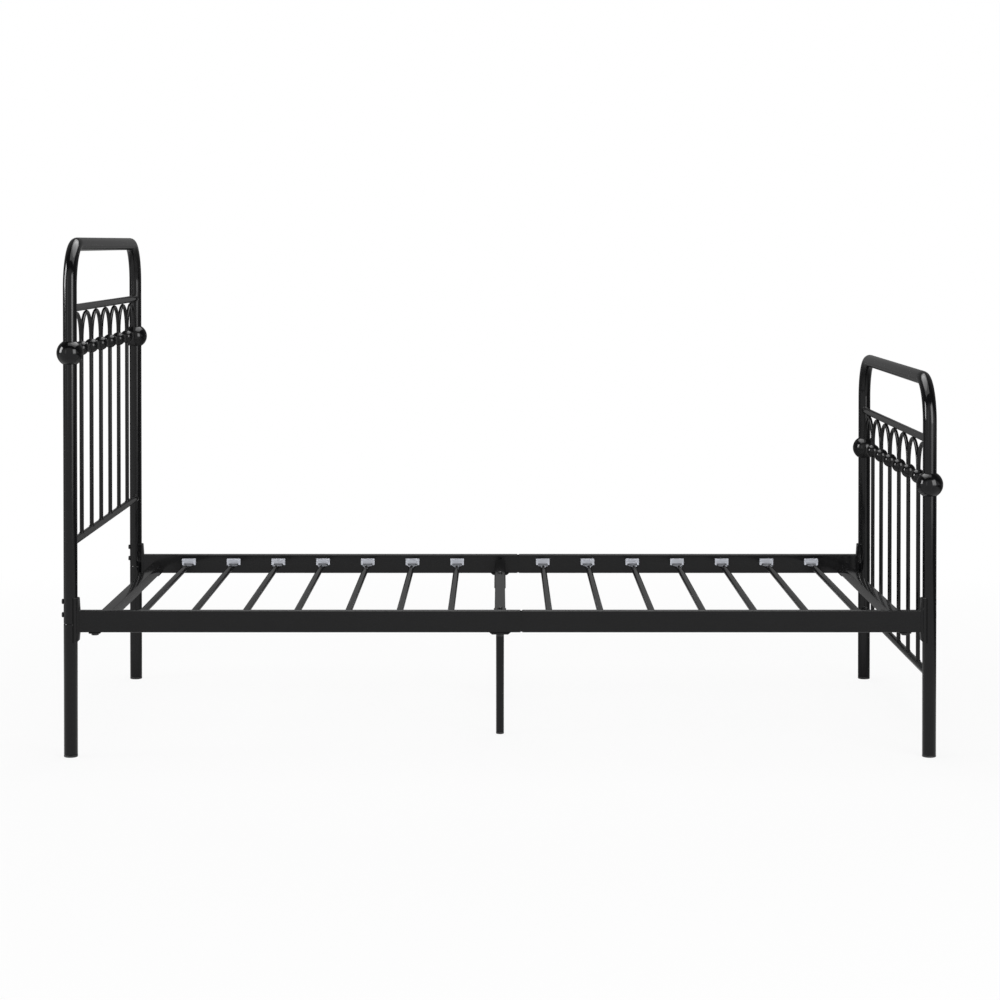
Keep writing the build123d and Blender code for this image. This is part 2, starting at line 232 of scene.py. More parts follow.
def cover(tree, colour, roughness, **others):
    """Last nodes of a finish: the skin with its colour, its roughness and other inputs."""
    inputs = {name.replace("_", " "): value for name, value in others.items()}
    skin = add_node(tree, "ShaderNodeBsdfPrincipled", {
        "Base Color": colour, "Roughness": roughness, **inputs})
    add_node(tree, "ShaderNodeOutputMaterial", {"Surface": skin.outputs["BSDF"]})


def powder_coat():
    """Powder coat baked on steel: a satin black skin whose faint orange peel breaks up the gloss."""
    material, tree = material_named("powder_coated_steel_satin_black")
    if not tree.nodes:
        # The real peel is about 1 mm across. It is drawn at 4 mm, so that a pixel can show it.
        peel = patches(tree, size=4 * MM, detail=1.0)
        cloud = patches(tree, size=60 * MM, detail=4.0)
        tone = two_tones(tree, cloud, colours().coat, dark=0.8, light=1.25)
        roughness = map_range(tree, cloud, low=0.3, high=0.7, start=0.08, end=0.13)
        cover(tree, tone, roughness, Specular_IOR_Level=0.22,
              Normal=relief(tree, peel, strength=0.05, depth=0.06 * MM))
    return material


def moulded_plastic(name, colour, roughness):
    """Injection-moulded plastic: an even colour with a fine spark-eroded grain and a soft gloss."""
    material, tree = material_named(name)
    if not tree.nodes:
        # The mould's grain is about 0.1 mm. It is drawn at 2 mm, so that a close view shows it.
        grain = patches(tree, size=2 * MM, detail=2.0)
        tone = two_tones(tree, grain, colour, dark=0.93, light=1.05)
        cover(tree, tone, roughness, Normal=relief(tree, grain, strength=0.2, depth=0.05 * MM))
    return material


def holder_plastic():
    """Pale grey polypropylene of the slat holders."""
    return moulded_plastic("moulded_polypropylene_pale_grey", colours().holder, roughness=0.5)


def foot_plastic():
    """Black polyethylene of the feet."""
    return moulded_plastic("moulded_polyethylene_black", colours().foot, roughness=0.6)


def black_oxide():
    """Black-oxide steel of the bolts: a thin blue-black film over turned metal, a little uneven."""
    material, tree = material_named("black_oxide_steel")
    if not tree.nodes:
        film = patches(tree, size=3 * MM, detail=3.0)
        tone = two_tones(tree, film, colours().bolt, dark=0.8, light=1.4)
        roughness = map_range(tree, film, low=0.0, high=1.0, start=0.3, end=0.45)
        cover(tree, tone, roughness, Specular_IOR_Level=0.4)
    return material


# Mesh helpers
def closed_mesh(bm, name):
    """Mesh data of a mesh under construction, which is freed."""
    mesh = bpy.data.meshes.new(name)
    bm.to_mesh(mesh)
    bm.free()
    return mesh


def mesh_from(bm, name):
    """Close a mesh under construction: faces outward, smooth but for its real edges."""
    sharp_angle = math.radians(35)
    bmesh.ops.recalc_face_normals(bm, faces=bm.faces)
    for face in bm.faces:
        face.smooth = True
    for edge in bm.edges:
        edge.smooth = edge.calc_face_angle(0.0) < sharp_angle
    return closed_mesh(bm, name)


def skin(bm, rows):
    """Faces between neighbouring rows of vertices. A row of one vertex is a pole."""
    count = max(len(row) for row in rows)
    for lower, upper in zip(rows, rows[1:]):
        for at in range(count):
            after = at + 1
            patch = [lower[at % len(lower)], lower[after % len(lower)],
                     upper[after % len(upper)], upper[at % len(upper)]]
            bm.faces.new(list(dict.fromkeys(patch)))


def loft(name, *bodies):
    """Mesh of bodies, each skinned over loops that have the same number of points, with closed ends."""
    bm = bmesh.new()
    for loops in bodies:
        rows = [[bm.verts.new(point) for point in loop] for loop in loops]
        skin(bm, rows)
        bm.faces.new(list(reversed(rows[0])))
        bm.faces.new(rows[-1])
    return mesh_from(bm, name)


def prism(outline, *places):
    """Loops of an outline of (x, z) at places along Y, for the loft."""
    return [[(x, y, z) for x, z in outline] for y in places]


def lathe(name, profile, count, closed=False):
    """Turn a profile of (radius, height) round Z. A closed profile makes a ring."""
    smallest = 1e-6 * MM
    bm = bmesh.new()
    rows = []
    for radius, height in profile:
        turns = count if radius > smallest else 1
        rows.append([bm.verts.new((x, y, height)) for x, y in ring(radius, count)[:turns]])
    skin(bm, rows + rows[:1] if closed else rows)
    return mesh_from(bm, name)


def rod_profile(radius, low, high, edge):
    """Profile of a round rod with bevelled ends, for the lathe."""
    return [(0, low), (radius - edge, low), (radius, low + edge),
            (radius, high - edge), (radius - edge, high), (0, high)]


def arc(radius, start, end, steps):
    """Points of an arc between two angles."""
    turns = [start + (end - start) * at / steps for at in range(steps + 1)]
    return [(radius * math.cos(turn), radius * math.sin(turn)) for turn in turns]


def ring(radius, count):
    """Points of a circle."""
    return arc(radius, 0, TURN, count)[:-1]


def rounded_outline(half_wide, half_tall, corner, steps):
    """Points of a rectangle with rounded corners, round its middle."""
    points = []
    for quarter, (side, up) in enumerate(((1, 1), (-1, 1), (-1, -1), (1, -1))):
        bend = arc(corner, quarter * QUARTER, (quarter + 1) * QUARTER, steps)
        points += [(side * (half_wide - corner) + x, up * (half_tall - corner) + y) for x, y in bend]
    return points


def hexagon(across, count):
    """Points of a hexagon, spread round it by angle. Across is measured between its flats."""
    points = []
    for at in range(count):
        angle = TURN * at / count
        bend = (angle + TURN / 12) % (TURN / 6) - TURN / 12
        reach = across / 2 / math.cos(bend)
        points.append((reach * math.cos(angle), reach * math.sin(angle)))
    return points


def path_mesh(name, *paths):
    """Edges along one or more paths. A path whose last point is its first is closed."""
    bm = bmesh.new()
    for points in paths:
        closed = points[0] == points[-1]
        kept = points[:-1] if closed else points
        row = [bm.verts.new(point) for point in kept]
        for near, far in zip(row, row[1:]):
            bm.edges.new((near, far))
        if closed:
            bm.edges.new((row[-1], row[0]))
    return closed_mesh(bm, name)


def new_object(name, data):
    made = bpy.data.objects.new(name, data)
    bpy.context.scene.collection.objects.link(made)
    return made


def soften(piece, width, segments=2):
    """Round the real edges of a piece."""
    bevel = piece.modifiers.new("edge rounding", "BEVEL")
    bevel.width = width
    bevel.segments = segments
    bevel.limit_method = "ANGLE"
    bevel.angle_limit = math.radians(40)
    bevel.harden_normals = False


def hand_over(piece, slot, *nodes):
    """Tie a finished piece to the frame in place of its nodes."""
    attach(piece, "root")
    if nodes:
        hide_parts(*nodes)


def steel_piece(name, mesh, *nodes, edge=0.0):
    """A coated steel piece from a finished mesh."""
    mesh.materials.append(powder_coat())
    piece = new_object(name, mesh)
    if edge:
        soften(piece, edge)
    hand_over(piece, "black_coat", *nodes)
    return piece


def steel_leg(node, profile, count, x, y):
    """A coated leg, turned from its profile, at its place on the floor."""
    mesh = lathe(node, profile, count)
    mesh.transform(Matrix.Translation((x, y, 0)))
    steel_piece(f"{node}_tube", mesh, node)


# Geometry node trees
def new_tree(name, *numbers, **others):
    """A geometry tree with number, other and material inputs by name, and its input node's outputs."""
    tree = bpy.data.node_groups.new(name, "GeometryNodeTree")
    tree.interface.new_socket("Geometry", in_out="INPUT", socket_type="NodeSocketGeometry")
    kinds = {**dict.fromkeys(numbers, "Float"), **others, "Material": "Material"}
    for label, kind in kinds.items():
        tree.interface.new_socket(label, in_out="INPUT", socket_type=f"NodeSocket{kind}")
    tree.interface.new_socket("Geometry", in_out="OUTPUT", socket_type="NodeSocketGeometry")
    return tree, add_node(tree, "NodeGroupInput").outputs


def end_tree(tree, given, geometry):
    """Last nodes of every tree: plain geometry with its material."""
    real = add_node(tree, "GeometryNodeRealizeInstances", {"Geometry": geometry})
    finish = add_node(tree, "GeometryNodeSetMaterial", {
        "Geometry": real.outputs["Geometry"], "Material": given["Material"]})
    add_node(tree, "NodeGroupOutput", {"Geometry": finish.outputs["Geometry"]})
    return tree


def grow(name, builder, start_mesh, **values):
    """Run a builder's tree on a mesh and keep the result as a plain mesh on a new object."""
    label = builder.__name__
    tree = bpy.data.node_groups.get(label) or builder(label)
    piece = new_object(name, start_mesh)
    modifier = piece.modifiers.new("shape", "NODES")
    modifier.node_group = tree
    for item in tree.interface.items_tree:
        if item.in_out == "INPUT" and item.name in values:
            modifier[item.identifier] = values[item.name]
    depsgraph = bpy.context.evaluated_depsgraph_get()
    result = bpy.data.meshes.new_from_object(piece.evaluated_get(depsgraph), depsgraph=depsgraph)
    if not result.polygons:
        raise RuntimeError(f"the tree of {name} gave no faces")
    piece.modifiers.remove(modifier)
    bm = bmesh.new()
    bm.from_mesh(result)
    piece.data = mesh_from(bm, name)
    piece.data.materials.append(values["Material"])
    return piece


def sweep(tree, curve, sides, radius, swell=1.0):
    """Mesh of a round section along a curve."""
    section = add_node(tree, "GeometryNodeCurvePrimitiveCircle", {"Resolution": sides, "Radius": radius})
    tube = add_node(tree, "GeometryNodeCurveToMesh", {
        "Curve": curve, "Profile Curve": section.outputs["Curve"], "Scale": swell, "Fill Caps": True})
    return tube.outputs["Mesh"]


def bent_tube(name):
    """A round tube along a path, its corners bent to a radius."""
    tree, given = new_tree(name, "Radius", "Bend", Sides="Int", Steps="Int")
    path = add_node(tree, "GeometryNodeMeshToCurve", {"Mesh": given["Geometry"]})
    bent = add_node(tree, "GeometryNodeFilletCurve", {
        "Curve": path.outputs["Curve"], "Radius": given["Bend"], "Count": given["Steps"]}, mode="POLY")
    tube = sweep(tree, bent.outputs["Curve"], given["Sides"], given["Radius"])
    return end_tree(tree, given, tube)


def copies_on_points(name):
    """Copies of one master piece on points, each turned as its point says."""
    tree, given = new_tree(name, Master="Object")
    master = add_node(tree, "GeometryNodeObjectInfo", {"Object": given["Master"], "As Instance": True})
    turn = add_node(tree, "GeometryNodeInputNamedAttribute", {"Name": "turn"}, data_type="FLOAT_VECTOR")
    rotation = add_node(tree, "FunctionNodeEulerToRotation", {"Euler": turn.outputs["Attribute"]})
    copies = add_node(tree, "GeometryNodeInstanceOnPoints", {
        "Points": given["Geometry"], "Instance": master.outputs["Geometry"],
        "Rotation": rotation.outputs["Rotation"]})
    return end_tree(tree, given, copies.outputs["Instances"])


def flared_slat(name):
    """A slat along a path: a round tube that flares into flat ends by a rule."""
    tree, given = new_tree(
        name, "Diameter", "Tip_Width", "Tip_Thickness", "Flare_Start", "Flare_End", Sides="Int")
    path = add_node(tree, "GeometryNodeMeshToCurve", {"Mesh": given["Geometry"]})
    radius = maths(tree, "MULTIPLY", given["Diameter"], 0.5)
    tube = sweep(tree, path.outputs["Curve"], given["Sides"], radius)
    # Share of the flare at a point, from 0 on the round tube to 1 on the flat tip
    position = add_node(tree, "GeometryNodeInputPosition").outputs["Position"]
    at = add_node(tree, "ShaderNodeSeparateXYZ", {"Vector": position}).outputs
    share = map_range(tree, maths(tree, "ABSOLUTE", at["Y"]), given["Flare_Start"], given["Flare_End"],
                      curve="SMOOTHSTEP")
    scaled = {"Y": at["Y"]}
    for axis, tip in (("X", "Tip_Width"), ("Z", "Tip_Thickness")):
        ratio = maths(tree, "DIVIDE", given[tip], given["Diameter"])
        scaled[axis] = maths(tree, "MULTIPLY", at[axis], map_range(tree, share, 0.0, 1.0, 1.0, ratio))
    spot = add_node(tree, "ShaderNodeCombineXYZ", scaled)
    slat = add_node(tree, "GeometryNodeSetPosition", {
        "Geometry": tube, "Position": spot.outputs["Vector"]})
    return end_tree(tree, given, slat.outputs["Geometry"])


def weld_beads(name):
    """Weld beads along paths: a thin roll with the ripples of a moving torch and a little unevenness."""
    tree, given = new_tree(name, "Radius", "Ripple", "Step", "Unevenness", "Seed")
    ripple_height = 0.12
    lump_size = 5 * MM
    bead_sides = 8
    path = add_node(tree, "GeometryNodeMeshToCurve", {"Mesh": given["Geometry"]})
    fine = add_node(tree, "GeometryNodeResampleCurve", {
        "Curve": path.outputs["Curve"], "Length": given["Step"]}, mode="LENGTH")
    along = add_node(tree, "GeometryNodeSplineParameter").outputs["Length"]
    angle = maths(tree, "MULTIPLY", maths(tree, "DIVIDE", along, given["Ripple"]), TURN)
    swell = maths(tree, "MULTIPLY_ADD", maths(tree, "SINE", angle), ripple_height, 1.0)
    bead = sweep(tree, fine.outputs["Curve"], bead_sides, given["Radius"], swell)
    noise = add_node(tree, "ShaderNodeTexNoise", {
        "W": given["Seed"], "Scale": 1 / lump_size, "Detail": 0.0}, noise_dimensions="4D")
    centred = vector_maths(tree, "SUBTRACT", noise.outputs["Color"], (0.5, 0.5, 0.5))
    shift = vector_maths(tree, "MULTIPLY", centred, given["Unevenness"])
    uneven = add_node(tree, "GeometryNodeSetPosition", {"Geometry": bead, "Offset": shift})
    return end_tree(tree, given, uneven.outputs["Geometry"])


def tube_along(name, points, radius, bend=0.0, count=ROD_SIDES):
    """A coated tube or rod along a path of points."""
    return grow(name, bent_tube, path_mesh(name, points), Radius=radius, Bend=bend, Sides=count,
                Steps=20, Material=powder_coat())


def copies(name, material, slot, nodes, *groups):
    """Copies of masters as one piece. A group is a master, the turn of its copies and their places."""
    bm = bmesh.new()
    for master, turn, places in groups:
        points = bpy.data.meshes.new(name)
        points.from_pydata(places, [], [])
        turns = points.attributes.new("turn", "FLOAT_VECTOR", "POINT")
        for point in turns.data:
            point.vector = turn
        stencil = new_object(f"{name}_master", master)
        row = grow(name, copies_on_points, points, Master=stencil, Material=material)
        bm.from_mesh(row.data)
        bpy.data.objects.remove(stencil)
        bpy.data.objects.remove(row)
    mesh = mesh_from(bm, name)
    mesh.materials.append(material)
    piece = new_object(name, mesh)
    hand_over(piece, slot, *nodes)
    return piece


def steel_copies(name, nodes, *groups):
    """Coated steel copies in place of nodes."""
    return copies(name, powder_coat(), "black_coat", nodes, *groups)


def bolt_copies(name, node, *groups):
    """Blackened bolts in place of a node."""
    return copies(name, black_oxide(), "bolt_black", [node], *groups)


# End panels
def panel_x(board):
    return middle_of(f"{board}_hoop").x


def bay_pitch():
    return (size_of("headboard_spindles").y - 2 * spindle_radius) / (sizes().spindle_count - 1)


def spindle_lines():
    count = sizes().spindle_count
    return [bay_pitch() * (number - (count - 1) / 2) for number in range(count)]


def arch_lines():
    half = bay_pitch() / 2
    return [spindle_lines()[0] - half] + [y + half for y in spindle_lines()]


def post_face(across):
    """Distance from the bed's middle line to a post's surface, at a distance across the post's axis."""
    return half_width - math.sqrt(post_radius ** 2 - across ** 2)


def lower_tube_top(board, across):
    """Height of a lower cross tube's upper surface, at a distance across its axis."""
    return middle_of(f"{board}_lower_rail").z + math.sqrt(cross_radius ** 2 - across ** 2)


class BEDFRAME_OT_hoops(bpy.types.Operator):
    """Bent tubes of the headboard and footboard: two posts and the top in one piece"""

    bl_idname = "bed_frame.hoops"
    bl_label = "End panel hoops"

    def execute(self, context):
        for board in boards:
            low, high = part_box(f"{board}_hoop")
            x = panel_x(board)
            top = high.z - post_radius
            points = [(x, -half_width, low.z), (x, -half_width, top),
                      (x, half_width, top), (x, half_width, low.z)]
            piece = tube_along(f"{board}_bent_tube", points, post_radius, sizes().corner_bend,
                               sizes().tube_sides)
            soften(piece, 1.0 * MM, 3)
            hand_over(piece, "black_coat", f"{board}_hoop")
        return {"FINISHED"}


class BEDFRAME_OT_headboard_legs(bpy.types.Operator):
    """Lower legs of the headboard, with rounded shoulders at the seam and a plug that enters the post"""

    bl_idname = "bed_frame.headboard_legs"
    bl_label = "Headboard legs"

    def execute(self, context):
        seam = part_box("headboard_hoop")[0].z
        edge, rise, wall = 1.1 * MM, 2.2 * MM, 1.2 * MM
        bore = post_radius - wall
        shoulder = [(post_radius - edge + edge * x, seam - rise + rise * y)
                    for x, y in arc(1, 0, QUARTER, 3)]
        for place, side in sides.items():
            node = f"headboard_leg_{place}"
            low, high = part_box(node)
            # A ring close below the shoulder keeps its round shading off the straight wall
            profile = [(0, low.z), (post_radius - edge, low.z), (post_radius, low.z + edge),
                       (post_radius, seam - 1.25 * rise), *shoulder,
                       (bore, seam), (bore, high.z), (0, high.z)]
            steel_leg(node, profile, sizes().tube_sides, panel_x("headboard"), side * half_width)
        return {"FINISHED"}


class BEDFRAME_OT_cross_tubes(bpy.types.Operator):
    """Upper and lower cross tubes of the panels, their ends coped to the round posts"""

    bl_idname = "bed_frame.cross_tubes"
    bl_label = "Cross tubes"

    def execute(self, context):
        section = ring(cross_radius, 40)
        for board in boards:
            x = panel_x(board)
            for level in ("upper", "lower"):
                node = f"{board}_{level}_rail"
                height = middle_of(node).z
                loops = [[(x + across, side * post_face(across), height + up) for across, up in section]
                         for side in (-1, 1)]
                steel_piece(f"{board}_{level}_cross_tube", loft(node, loops), node)
        return {"FINISHED"}


class BEDFRAME_OT_spindles(bpy.types.Operator):
    """Upright spindles of the panels, coped to the lower cross tube"""

    bl_idname = "bed_frame.spindles"
    bl_label = "Spindles"

    def execute(self, context):
        section = ring(spindle_radius, ROD_SIDES)
        for board in boards:
            node = f"{board}_spindles"
            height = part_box(node)[1].z
            foot = [(across, along, lower_tube_top(board, across)) for across, along in section]
            top = [(across, along, height) for across, along in section]
            master = loft(node, [foot, top])
            places = [(panel_x(board), y, 0) for y in spindle_lines()]
            steel_copies(f"{board}_spindle_rods", [node], (master, UPRIGHT, places))
        return {"FINISHED"}


class BEDFRAME_OT_arches(bpy.types.Operator):
    """Bent rods side by side under the upper cross tubes, the outer two leaning on the posts"""

    bl_idname = "bed_frame.arches"
    bl_label = "Arches"

    def execute(self, context):
        radius = bay_pitch() / 2 - sizes().leg_spread
        bend = arc(radius, math.pi, 0, 48)
        for board in boards:
            node = f"{board}_arches"
            low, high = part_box(node)
            spring = high.z - arch_rod_radius - radius
            points = [(0, -radius, low.z), *[(0, y, spring + z) for y, z in bend], (0, radius, low.z)]
            rod = tube_along("arch_rod", points, arch_rod_radius)
            places = [(panel_x(board), y, 0) for y in arch_lines()]
            steel_copies(f"{board}_arch_rods", [node], (rod.data, UPRIGHT, places))
            bpy.data.objects.remove(rod)
        return {"FINISHED"}


class BEDFRAME_OT_balls(bpy.types.Operator):
    """Cast balls of the panels: small ones on the spindles and large bored ones on the posts"""

    bl_idname = "bed_frame.balls"
    bl_label = "Cast balls"

    def execute(self, context):
        lip = 0.8 * MM
        mouth = math.acos((post_radius + lip) / post_ball_radius)
        sphere = arc(spindle_ball_radius, -QUARTER, QUARTER, 24)
        bored = arc(post_ball_radius, -mouth, mouth, 24)
        edge = bored[-1][1] + 0.2 * lip
        bored = [(post_radius, -edge), *bored, (post_radius, edge)]
        for board in boards:
            x = panel_x(board)
            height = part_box(f"{board}_spindle_balls")[1].z - spindle_ball_radius
            places = [(x, y, height) for y in spindle_lines()]
            ball = lathe("small_ball", sphere, TURNED_SIDES)
            steel_copies(f"{board}_small_balls", [f"{board}_spindle_balls"], (ball, UPRIGHT, places))
            height = middle_of(f"{board}_post_balls").z
            places = [(x, y, height) for y in post_lines]
            ball = lathe("large_ball", bored, sizes().tube_sides, closed=True)
            steel_copies(f"{board}_large_balls", [f"{board}_post_balls"], (ball, UPRIGHT, places))
        return {"FINISHED"}


# Side rails
class BEDFRAME_OT_saddles(bpy.types.Operator):
    """Curved brackets on the rail ends that hug the posts"""

    bl_idname = "bed_frame.saddles"
    bl_label = "Saddles"

    def execute(self, context):
        thick = 3 * MM
        wrap = 9 * MM
        step = 1.7 * MM
        cut = 5.1 * MM
        setback = abs(panel_x("headboard")) - abs(rail_low.x)
        pad = half_width - rail_inner
        lip = setback - step
        outer = post_radius + thick
        outer_wrap, outer_pad = math.acos(wrap / outer), math.asin(pad / outer)
        inner_wrap = math.acos(wrap / post_radius)
        section = arc(outer, outer_wrap, outer_pad, 10)
        section += [(setback, pad), (setback, -pad)]
        section += arc(outer, -outer_pad, -outer_wrap, 10)
        section += arc(post_radius, -inner_wrap, inner_wrap, 10)
        for corner, side_x, side_y in corners:
            node = f"saddle_{corner}"
            low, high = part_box(node)
            levels = [(low.z, lip - cut), (low.z + cut, lip), (rail_low.z, setback),
                      (rail_high.z, setback), (high.z - step, lip), (high.z, lip - step)]
            post = (side_x * abs(panel_x("headboard")), side_y * half_width)
            loops = [[(post[0] - side_x * min(inboard, reach), post[1] + across, height)
                      for inboard, across in section] for height, reach in levels]
            steel_piece(f"{node}_bracket", loft(node, loops), node, edge=0.5 * MM)
        return {"FINISHED"}


class BEDFRAME_OT_side_rails(bpy.types.Operator):
    """Box tubes of the side rails, in two halves with notched corners at their joint"""

    bl_idname = "bed_frame.side_rails"
    bl_label = "Side rails"

    def execute(self, context):
        half_tall = (rail_high.z - rail_low.z) / 2
        half_deep = (rail_high.y - rail_low.y) / 2
        notch = sizes().joint_notch
        seam = 0.15 * MM
        bend = sizes().rail_corner
        section = rounded_outline(half_deep, half_tall, bend, 8)
        inset = rounded_outline(half_deep - seam, half_tall - seam, bend - seam, 8)
        for corner, side_x, side_y in corners:
            node = f"side_rail_{corner}"
            low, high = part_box(node)
            far = low.x if side_x < 0 else high.x
            y = side_y * half_width

            def joint_loop(points, back):
                loop = []
                for across, up in points:
                    cut = max(0.0, notch - (half_tall - abs(up)))
                    loop.append((joint_x + side_x * (cut + back), y + across, rail_middle.z + up))
                return loop

            loops = [[(far, y + across, rail_middle.z + up) for across, up in section],
                     joint_loop(section, seam), joint_loop(inset, 0.0)]
            steel_piece(f"{node}_tube", loft(node, loops), node)
        for place in sides:
            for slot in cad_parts[f"rail_joiner_{place}"].material_slots:
                slot.material = powder_coat()
        return {"FINISHED"}


# Cross bars
def bar_across(name, node):
    """Square tube between the side rails."""
    low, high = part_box(node)
    centre = middle_of(node)
    half = (high - low) / 2
    section = rounded_outline(half.x, half.z, sizes().bar_corner, 6)
    outline = [(centre.x + across, centre.z + up) for across, up in section]
    steel_piece(name, loft(name, prism(outline, low.y, high.y)), node)


class BEDFRAME_OT_cross_bars(bpy.types.Operator):
    """Square cross bars at the head, the middle and the foot, with the plates that carry them"""

    bl_idname = "bed_frame.cross_bars"
    bl_label = "Cross bars"

    def execute(self, context):
        plate_end = rail_inner - sizes().tongue_reach
        for end in ends:
            bar_across(f"{end}_cross_bar", f"{end}_end_bar")
            node = f"{end}_bar_tongues"
            low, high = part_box(node)
            chamfer = (high.z - low.z) / 2
            outline = [(low.x + chamfer, low.z), (high.x - chamfer, low.z), (high.x, low.z + chamfer),
                       (high.x, high.z), (low.x, high.z), (low.x, low.z + chamfer)]
            bodies = [prism(outline, side * plate_end, side * high.y) for side in (-1, 1)]
            steel_piece(f"{end}_bar_plates", loft(node, *bodies), node, edge=0.4 * MM)
        bar_across("middle_cross_bar", "centre_bar")
        bar_low, bar_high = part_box("centre_bar")
        wall, pan_lap, pan_taper = 2 * MM, 3 * MM, 37 / 48.7
        room = (bar_high.x - bar_low.x) / 2
        base = room + wall
        floor = bar_low.z
        for place, side in sides.items():
            node = f"channel_bracket_{place}"
            low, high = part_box(node)
            channel = [(-base, floor - wall), (base, floor - wall), (base, high.z), (room, high.z),
                       (room, floor), (-room, floor), (-room, high.z), (-base, high.z)]
            inner_end, outer_end = sorted((abs(low.y), abs(high.y)))
            narrow = high.x * pan_taper
            pan = [(-high.x, floor), (-narrow, low.z), (narrow, low.z), (high.x, floor)]
            mesh = loft(node, prism(channel, side * inner_end, side * rail_inner),
                        prism(pan, side * (rail_inner - pan_lap), side * outer_end))
            steel_piece(f"{node}_pressing", mesh, node, edge=0.5 * MM)
        return {"FINISHED"}


class BEDFRAME_OT_centre_legs(bpy.types.Operator):
    """Round support legs under the middle cross bar"""

    bl_idname = "bed_frame.centre_legs"
    bl_label = "Centre legs"

    def execute(self, context):
        edge = 0.7 * MM
        for place in sides:
            node = f"centre_leg_{place}"
            low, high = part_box(node)
            profile = rod_profile(size_of(node).x / 2, low.z, high.z, edge)
            steel_leg(node, profile, TURNED_SIDES, *middle_of(node).xy)
        return {"FINISHED"}


# Slats
class BEDFRAME_OT_slats(bpy.types.Operator):
    """Tube slats whose round section flares into flat ends"""

    bl_idname = "bed_frame.slats"
    bl_label = "Slats"

    def execute(self, context):
        low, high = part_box(slat_nodes[0])
        size = sizes()
        flare_end = rail_inner - size.holder_depth - size.tip_length
        flare_start = flare_end - size.flare_length
        steps = 16
        half_path = [flare_start + size.flare_length * at / steps for at in range(steps + 1)]
        half_path.append(high.y)
        path = [(0, -y, 0) for y in reversed(half_path)] + [(0, y, 0) for y in half_path]
        slat = grow("slat", flared_slat, path_mesh("slat_path", path), Diameter=high.z - low.z, Sides=32,
                    Tip_Width=high.x - low.x, Tip_Thickness=size.tip_thickness,
                    Flare_Start=flare_start, Flare_End=flare_end, Material=powder_coat())
        places = [(x, 0, (low.z + high.z) / 2) for x in slat_places]
        steel_copies("slat_tubes", slat_nodes, (slat.data, UPRIGHT, places))
        bpy.data.objects.remove(slat)
        return {"FINISHED"}


class BEDFRAME_OT_slat_holders(bpy.types.Operator):
    """Moulded holders on the rails' inner faces, each with a notch for a slat's flat end"""

    bl_idname = "bed_frame.slat_holders"
    bl_label = "Slat holders"

    def execute(self, context):
        low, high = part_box("slat_holders_rear")
        size = sizes()
        axis = middle_of(slat_nodes[0]).z
        play_across, play_above = 0.4 * MM, 0.5 * MM
        notch = size_of(slat_nodes[0]).x / 2 + play_across
        roof = size.tip_thickness / 2 + play_above
        lug_half, lug_below, lug_above = 15.5 * MM, 1.6 * MM, 6 * MM

        def section(half_wide, bottom, top):
            feet = [(-half_wide, bottom), (-notch, bottom), (-notch, roof), (notch, roof),
                    (notch, bottom), (half_wide, bottom)]
            return feet + [(half_wide, top), (-half_wide, top)]

        block = section(size.holder_width / 2, low.z - axis, high.z - axis)
        lug = section(lug_half, -lug_below, lug_above)
        rows = [(lug, high.y), (lug, rail_inner), (block, rail_inner),
                (block, rail_inner - size.holder_depth)]
        master = loft("slat_holder", [[(x, y, z) for x, z in points] for points, y in rows])
        places = [(x, 0, axis) for x in slat_places]
        turns = {"front": (0, 0, math.pi), "rear": UPRIGHT}
        for place, turn in turns.items():
            piece = copies(f"slat_holder_row_{place}", holder_plastic(), "holder_plastic",
                           [f"slat_holders_{place}"], (master, turn, places))
            soften(piece, 0.7 * MM, 3)
        return {"FINISHED"}


# Feet and bolts
class BEDFRAME_OT_feet(bpy.types.Operator):
    """Moulded feet under the posts and the centre legs"""

    bl_idname = "bed_frame.feet"
    bl_label = "Feet"

    def execute(self, context):
        post_places = [(panel_x(board), y, 0) for board in boards for y in post_lines]
        leg_places = [(*middle_of(f"centre_leg_{place}").xy, 0) for place in sides]
        groups = [("post_foot_caps", post_radius, post_places),
                  ("centre_leg_caps", size_of("centre_leg_front").x / 2, leg_places)]
        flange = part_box("centre_leg_front")[0].z
        edge, rim, wall = 1.2 * MM, 0.5 * MM, 1.3 * MM
        for node, radius, places in groups:
            plug_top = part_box(node)[1].z
            bore = radius - wall
            profile = [(0, 0), (radius - edge, 0), (radius - 0.3 * edge, 0.3 * edge), (radius, edge),
                       (radius, flange - rim), (radius - rim, flange), (bore, flange),
                       (bore, plug_top), (0, plug_top)]
            copies(f"{node}_moulded", foot_plastic(), "cap_plastic", [node],
                   (lathe(node, profile, TURNED_SIDES), UPRIGHT, places))
        return {"FINISHED"}


bolt_shank = ring(4 * MM, TURNED_SIDES)
bolt_key = hexagon(5 * MM, TURNED_SIDES)
bolt_edge = 0.3 * MM
socket_depth = 2.2 * MM


def bolt_ring(radius):
    return ring(radius, TURNED_SIDES)


def key_mouth(widening):
    """Outline of the key's socket where it widens at the bolt's face."""
    return [(x * widening, y * widening) for x, y in bolt_key]


def button_bolt(diameter, shank_length):
    """Button-head bolt with a hexagon socket, its seat on the origin and its head towards +Z."""
    radius = diameter / 2
    tall = 4 * MM
    crown = 1.5 * MM
    rows = [(bolt_shank, -shank_length), (bolt_shank, 0), (bolt_ring(radius - bolt_edge), 0),
            (bolt_ring(radius), bolt_edge), (bolt_ring(radius), tall - crown)]
    for x, z in arc(crown, 0, QUARTER, 5)[1:]:
        rows.append((bolt_ring(radius - crown + x), tall - crown + z))
    rows += [(key_mouth(1.08), tall), (bolt_key, tall - bolt_edge), (bolt_key, tall - socket_depth)]
    return loft("button_bolt", [[(x, y, z) for x, y in points] for points, z in rows])


